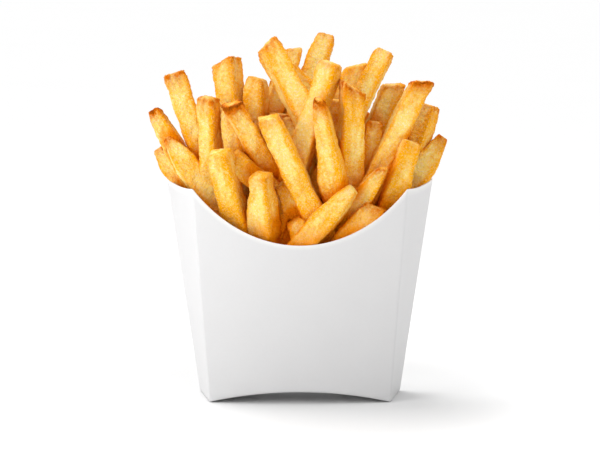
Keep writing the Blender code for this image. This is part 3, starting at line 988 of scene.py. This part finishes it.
def store_painted_shade(data, heap):
    """Stores the painted shade for each point of the crust: how closely other fries stand in front of it,
    more low near the front rim and less high on the heap.
    """
    count = len(data.vertices)
    points = np.empty(count * 3)
    normals = np.empty(count * 3)
    data.vertices.foreach_get("co", points)
    data.vertices.foreach_get("normal", normals)
    points = (points.reshape(-1, 3) - np.array(SHIFT)) / MM
    normals = normals.reshape(-1, 3)
    own = np.empty(count)
    data.attributes["own"].data.foreach_get("value", own)
    painted_shade = np.zeros(count)
    for i, (fry, (tip, foot)) in enumerate(heap):
        line = np.array(tip - foot)
        start = np.array(foot)
        t = np.clip((points - start) @ line / (line @ line), 0, 1)
        toward = start + t[:, None] * line - points
        reach = np.linalg.norm(toward, axis=1)
        facing = np.clip((toward * normals).sum(axis=1) / reach + SHADE_SIDE, 0, 1)
        near = np.exp(-np.maximum(reach - fry.width / 2, 0) / SHADE_REACH)
        painted_shade += np.where(np.abs(own - i) < 0.5, 0, near * facing)
    # Painted shade is deeper low down near the front rim and lighter high on the heap
    across = np.clip(points[:, 0] / FRONT_HALF_TOP, -1, 1)
    packed = front_rim(across * FRONT_HALF_TOP) + LOW_SHADE_ABOVE * (1 - LOW_SHADE_SIDE * across * across)
    painted_shade += LOW_SHADE * np.clip((packed - points[:, 2]) / LOW_SHADE_FADE, 0, 1)
    painted_shade *= 1 - OPEN_SHARE * np.clip((points[:, 2] - OPEN_FROM) / OPEN_FADE, 0, 1)
    layer = data.attributes.new("painted_shade", "FLOAT", "POINT")
    layer.data.foreach_set("value", painted_shade)


def close_ends(mesh):
    """Fills the small holes left in the middle of each end."""
    edges = [edge for edge in mesh.edges if edge.is_boundary]
    bmesh.ops.holes_fill(mesh, edges=edges, sides=0)


def swept(guide, tree, inputs, settings, name, heap):
    """The finished mesh of a row of fries. The guide lines are removed."""
    nodes = guide.modifiers.new("sweep", "NODES")
    nodes.node_group = tree
    nodes[inputs["Points around"]] = settings.around
    nodes[inputs["Corner"]] = settings.corner
    nodes[inputs["Swell"]] = settings.swell
    nodes[inputs["Blister"]] = settings.blister
    data = evaluated(guide)
    bpy.data.objects.remove(guide)
    mesh = bmesh.new()
    mesh.from_mesh(data)
    close_ends(mesh)
    press_inside(mesh)
    bmesh.ops.recalc_face_normals(mesh, faces=mesh.faces[:])
    for face in mesh.faces:
        face.smooth = True
    mesh.to_mesh(data)
    mesh.free()
    store_painted_shade(data, heap)
    for layer in list(data.attributes):
        if layer.name in FLOAT_LAYERS + VECTOR_LAYERS and layer.name not in KEPT_LAYERS:
            data.attributes.remove(layer)
    data.name = name
    return linked(name, data)


# Materials


def crust_material(settings):
    """Fried crust: pale to golden mottling, fine grain, golden edges and browned cut rims, with painted shade
    between the fries and on their right-hand faces, and painted glints among the crumbs.
    """
    material, maker, shader = new_material("fry crust")
    place = object_place(maker)
    corner = attribute(maker, "corner")
    rim = attribute(maker, "rim")
    tone = attribute(maker, "tone")
    # Painted shade: how closely other fries stand in front of this point
    painted_shade = attribute(maker, "painted_shade")
    right = attribute(maker, "right")
    local = attribute(maker, "local", "Vector")
    patch = maker.noise(local, PATCH)
    blotch = maker.noise(local, BLOTCH)
    grain = maker.noise(place, GRAIN)
    pores = maker.noise(place, PORES, attribute(maker, "luck") * PORES_SHIFT)
    gold = patch * GOLD_PATCH + blotch * GOLD_BLOTCH + pores * GOLD_PORES + grain * GOLD_GRAIN
    # Painted shade: right-hand faces more golden
    gold = gold + corner**2.0 * GOLD_CORNER + tone * GOLD_TONE + right.step(*RIGHT_SHADE_RANGE) * RIGHT_SHADE
    gold = (gold + GOLD).clamped()
    tint = maker.blend(gold, color4(settings.pale), color4(settings.golden))
    # Pale spots on the grain: partly dry crumbs, partly painted glints
    crumbs = grain.step(*CRUMB_AND_GLINT_GRAIN) * (CRUMB_AND_GLINT - gold * CRUMB_AND_GLINT_GOLD)
    tint = maker.blend(crumbs, tint, color4(settings.crumb_and_glint))
    # Painted shade: deep orange where other fries stand close in front
    deep_shade = (painted_shade.step(*DEEP_SHADE_RANGE) * (DEEP_SHADE + blotch * DEEP_SHADE_BLOTCH)).clamped()
    tint = maker.blend(deep_shade, tint, color4(settings.deep))
    # Painted shade: browned in the tightest gaps between fries
    tint = maker.blend(painted_shade.step(*DARK_SHADE_RANGE) * DARK_SHADE, tint, color4(settings.browned))

    edge = corner.step(*EDGE_CORNER) * (EDGE + pores * EDGE_PORES + patch * EDGE_PATCH)
    fried = rim * (FRIED + blotch * FRIED_BLOTCH + pores * FRIED_PORES) + edge.clamped() * EDGE_SHARE
    tint = maker.blend((fried * FRIED_GAIN).clamped(), tint, color4(settings.browned))
    specks = ((fried - SPECK_FROM) * SPECK_GAIN + pores * SPECK_PORES).clamped()
    specks = specks * rim.step(*SPECK_RIM) * SPECK_SHARE
    tint = maker.blend(specks, tint, color4(settings.dark))
    values = {
        "Base Color": tint,
        "Roughness": 0.48 + grain * 0.4,
        "Specular IOR Level": 0.05,
        "Specular Tint": (1.0, 0.62, 0.16, 1.0),
        "Subsurface Weight": 0.1,
        "Subsurface Radius": (1.0, 0.45, 0.12),
        "Subsurface Scale": 0.002,
        "Normal": maker.bump(pores * 1.2 + grain * 0.6, 0.001),
    }
    maker.fill(shader, values)
    return material


def core_material(settings):
    """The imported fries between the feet, deep golden in the carton's shade."""
    material, maker, shader = new_material("packed fries")
    place = object_place(maker)
    blotch = maker.noise(place, CORE_BLOTCH)
    grain = maker.noise(place, CORE_GRAIN)
    factor = (blotch * 2.0 + grain * 0.6 + 0.5).clamped()
    tint = maker.blend(factor, color4(settings.golden), color4(settings.browned))
    normal = maker.bump(blotch + grain * 0.3, 0.001)
    maker.fill(shader, {"Base Color": tint, "Roughness": 0.6, "Normal": normal})
    return material


def board_material(settings):
    """Coated white paperboard: soft fibre grain, a slight wave and a rawer cut edge."""
    material, maker, shader = new_material("white board")
    place = object_place(maker)
    cut = attribute(maker, "cut")
    fibre = maker.noise(place, FIBRE)
    wave = maker.noise(place, BOARD_WAVE)
    shade = (fibre * 0.12 + wave * 0.1 + cut * 0.6 + 0.15).clamped()
    values = {
        "Base Color": maker.blend(shade, color4(settings.board_color), color4(settings.edge_color)),
        "Roughness": 0.55 + fibre * 0.15 + cut * 0.25,
        "Specular IOR Level": 0.3,
        "Normal": maker.bump(fibre * 0.05 + wave * 1.2, 0.0002, 0.6),
    }
    maker.fill(shader, values)
    return material


def floor_material():
    """Matt white studio floor with a painted shadow: a touch greyer round the carton so that its shadow
    shows.
    """
    material, maker, shader = new_material("studio floor")
    place = object_place(maker)
    # Painted shadow: greyer near the middle, plain white further out
    outside_shadow = maker.dot(place, place).step(*SHADOW_POOL) + maker.noise(place, FLOOR_CLOUD) * 0.1
    tint = maker.blend(outside_shadow.clamped(), FLOOR_SHADOW, FLOOR_FAR)
    maker.fill(shader, {"Base Color": tint, "Roughness": 0.9, "Specular IOR Level": 0.1})
    return material


# Pieces


def dressed(piece, node):
    """Puts a finished piece on the body in place of its solid."""
    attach(piece, BODY)
    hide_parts(node)


class FRIES_OT_carton(bpy.types.Operator):
    """Folded board with its scoop, rounded folds and cut edge"""

    bl_idname = "fries.carton"
    bl_label = "Carton"

    def execute(self, context):
        settings = context.scene.carton_settings
        mesh = bmesh.new()
        cut = mesh.verts.layers.float.new("cut")
        weight = mesh.edges.layers.float.new("bevel_weight_edge")
        cup = Cup(mesh, settings.panel_steps, settings.side_steps, settings.rows)
        outer = cup.walls(0.0, 0.0, rim_z)
        skin = set(mesh.faces)
        inner = cup.walls(BOARD, BOARD, rim_z)
        bmesh.ops.reverse_faces(mesh, faces=[f for f in mesh.faces if f not in skin])
        cup.join(outer[-1], inner[-1])
        for vert in outer[-1] + inner[-1]:
            vert[cut] = 1.0
        folds = (0, settings.panel_steps, settings.panel_steps + settings.side_steps)
        folds += (2 * settings.panel_steps + settings.side_steps,)
        inner_share = 1 - BOARD * MM / settings.fold_radius
        for loops, share in ((outer, 1.0), (inner, inner_share)):
            for low, high in zip(loops, loops[1:]):
                for i in folds:
                    mesh.edges.get((low[i], high[i]))[weight] = share
            for i, vert in enumerate(loops[0]):
                mesh.edges.get((vert, loops[0][(i + 1) % len(loops[0])]))[weight] = share
        piece = mesh_object("carton_board", mesh)
        bevel = piece.modifiers.new("folds", "BEVEL")
        bevel.limit_method = "WEIGHT"
        bevel.width = settings.fold_radius
        bevel.segments = 3
        bevel.use_clamp_overlap = True
        made = evaluated(piece)
        piece.modifiers.clear()
        piece.data = made
        made.set_sharp_from_angle(angle=SHARP_ANGLE)
        made.materials.append(board_material(settings))
        dressed(piece, "carton")
        return {"FINISHED"}


class FRIES_OT_core(bpy.types.Operator):
    """Packed fries low in the carton, which the others stand in"""

    bl_idname = "fries.core"
    bl_label = "Core"

    def execute(self, context):
        mesh = bmesh.new()
        cup = Cup(mesh, *CORE_GRID)
        inset = BOARD + GAP

        def top(_, v):
            return mix(CORE_TOP_FRONT, CORE_TOP_BACK, v)

        loops = cup.walls(inset, inset, top)
        cup.sheet(loops[-1], lambda u, v: plan_point(u, v, top(u, v), inset), True)
        piece = mesh_object("fries_core", mesh)
        piece.data.set_sharp_from_angle(angle=SHARP_ANGLE)
        piece.data.materials.append(core_material(context.scene.fry_settings))
        dressed(piece, "fries")
        return {"FINISHED"}


class FRIES_OT_heap(bpy.types.Operator):
    """Every fry of the heap, one piece for each row"""

    bl_idname = "fries.heap"
    bl_label = "Fries"

    def execute(self, context):
        settings = context.scene.fry_settings
        material = crust_material(settings)
        tree, inputs = sweep_tree(material)
        rng = random.Random(SEED)
        names = ("fries_front", "fries_second", "fries_third", "fries_back", "fries_hidden")
        rows = laid_out()
        heap = [fry for row in rows for fry in row]
        first = 0
        for name, row in zip(names, rows):
            guide = guide_object(name + "_guide", row, first, rng, settings.station / MM)
            piece = swept(guide, tree, inputs, settings, name, heap)
            dressed(piece, "fries")
            first += len(row)
        return {"FINISHED"}


class FRIES_OT_stage(bpy.types.Operator):
    """White floor, soft light and the camera"""

    bl_idname = "fries.stage"
    bl_label = "Stage"

    def execute(self, context):
        settings = context.scene.stage_settings
        scene = context.scene
        self.add_floor()
        self.add_camera(context, settings)
        sun = bpy.data.lights.new("top light", "SUN")
        sun.energy = settings.top_light
        sun.angle = SUN_SPREAD
        self.add_light(context, sun, Vector(SUN_PLACE))
        # Each soft box: name, place, power in watts and side length
        boxes = (
            ("key light", (-0.33, -0.26, 0.2), settings.key_light, 0.2),
            ("near light", (0.0, -0.09, 0.25), settings.near_light, 0.1),
            ("fill light", (0.3, -0.1, 0.32), settings.fill_light, 0.25),
        )
        for name, place, power, side in boxes:
            lamp = bpy.data.lights.new(name, "AREA")
            lamp.energy = power
            lamp.size = side
            self.add_light(context, lamp, Vector(place))
        world = bpy.data.worlds.new("studio")
        world.use_nodes = True
        back = world.node_tree.nodes["Background"]
        back.inputs["Color"].default_value = (1, 1, 1, 1)
        back.inputs["Strength"].default_value = settings.sky
        scene.world = world
        scene.view_settings.view_transform = "Standard"
        return {"FINISHED"}

    def add_light(self, context, data, place):
        """A light at its place: a soft box is turned to the middle of the heap, the sun to the ground."""
        lamp = linked(data.name, data)
        lamp.location = place
        lamp.visible_camera = False
        lamp.rotation_mode = "QUATERNION"
        aim = Vector((0, 0, context.scene.stage_settings.aim_height)) if data.type == "AREA" else Vector()
        lamp.rotation_quaternion = (aim - place).to_track_quat("-Z", "Y")

    def add_floor(self):
        mesh = bmesh.new()
        bmesh.ops.create_grid(mesh, x_segments=8, y_segments=8, size=FLOOR_SIZE)
        floor = mesh_object("floor", mesh)
        floor.data.materials.append(floor_material())

    def add_camera(self, context, settings):
        data = bpy.data.cameras.new("camera")
        data.lens = settings.lens
        data.sensor_width = SENSOR
        data.clip_end = FAR_CLIP
        camera = linked("camera", data)
        aim = Vector((SHIFT.x, SHIFT.y, settings.aim_height))
        tilt = settings.elevation
        back = Vector((0, -math.cos(tilt), math.sin(tilt)))
        camera.location = aim + back * settings.distance
        camera.rotation_mode = "QUATERNION"
        camera.rotation_quaternion = (-back).to_track_quat("-Z", "Y")
        context.scene.camera = camera


class FRIES_PT_panel(bpy.types.Panel):
    """Fries in a scoop carton"""

    bl_idname = "FRIES_PT_panel"
    bl_label = "Fries in a carton"
    bl_space_type = "VIEW_3D"
    bl_region_type = "UI"
    bl_category = "Fries"

    def draw(self, context):
        for operator in OPERATORS:
            self.layout.operator(operator.bl_idname)
        for name in ("carton_settings", "fry_settings", "stage_settings"):
            settings = getattr(context.scene, name)
            box = self.layout.box()
            for key in settings.__annotations__:
                box.prop(settings, key)


OPERATORS = (FRIES_OT_carton, FRIES_OT_core, FRIES_OT_heap, FRIES_OT_stage)
CLASSES = (CartonSettings, FrySettings, StageSettings, *OPERATORS, FRIES_PT_panel)


def register():
    for item in CLASSES:
        bpy.utils.register_class(item)
    bpy.types.Scene.carton_settings = PointerProperty(type=CartonSettings)
    bpy.types.Scene.fry_settings = PointerProperty(type=FrySettings)
    bpy.types.Scene.stage_settings = PointerProperty(type=StageSettings)


def unregister():
    del bpy.types.Scene.carton_settings
    del bpy.types.Scene.fry_settings
    del bpy.types.Scene.stage_settings
    for item in reversed(CLASSES):
        bpy.utils.unregister_class(item)


def main():
    register()
    bpy.ops.fries.carton()
    bpy.ops.fries.core()
    bpy.ops.fries.heap()
    bpy.ops.fries.stage()


if __name__ == "__main__":
    main()
